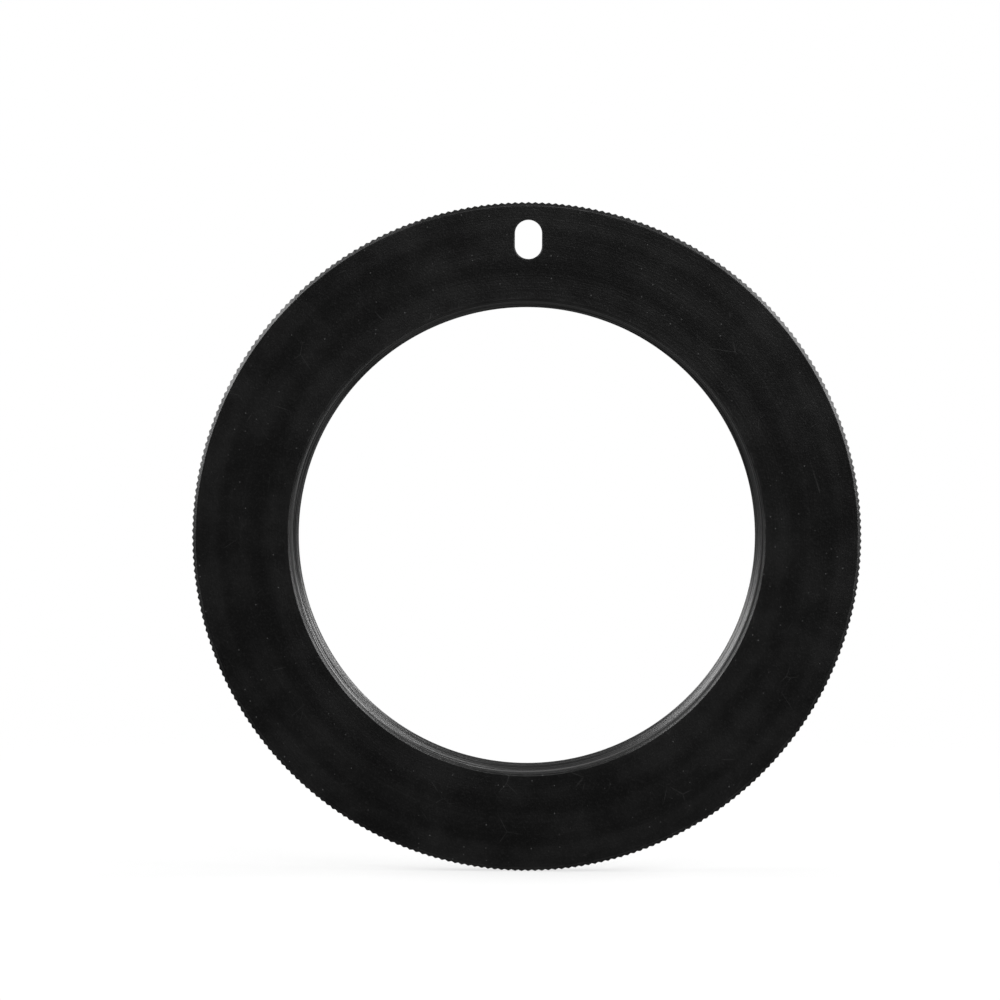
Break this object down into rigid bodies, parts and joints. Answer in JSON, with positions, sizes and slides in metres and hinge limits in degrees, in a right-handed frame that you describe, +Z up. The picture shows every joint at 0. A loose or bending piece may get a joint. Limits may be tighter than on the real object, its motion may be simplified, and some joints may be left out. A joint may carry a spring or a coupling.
{
  "type": "lens mount adapter ring",
  "caption": "Knurled black ring that fits a screw-thread camera lens to a three-lug bayonet camera body, with a radial slot for the body's lock pin.",
  "frame": {"origin": "on the bore's axis, in the plane of the seat that rests on the camera body", "axes": "-Y along the bore towards the lens; +Z up through the lock slot, as a level camera body holds the ring; +X completes the right-handed frame"},
  "size_m": [0.0594, 0.0056, 0.0594],
  "materials": {
    "black_anodised_aluminium": "matt black anodised, fine bead-blasted face, straight-knurled rim",
    "chromed_brass": "satin chrome plate with fine turning marks, matt black in the threaded bore",
    "screw_steel": "nickel-plated steel, countersunk head with a cross recess"
  },
  "bodies": {
    "root": {"front_ring": "black_anodised_aluminium", "bayonet_plate": "chromed_brass", "plate_screw_1": "screw_steel", "plate_screw_2": "screw_steel", "plate_screw_3": "screw_steel", "plate_screw_4": "screw_steel", "plate_screw_5": "screw_steel"}
  },
  "joints": []
}
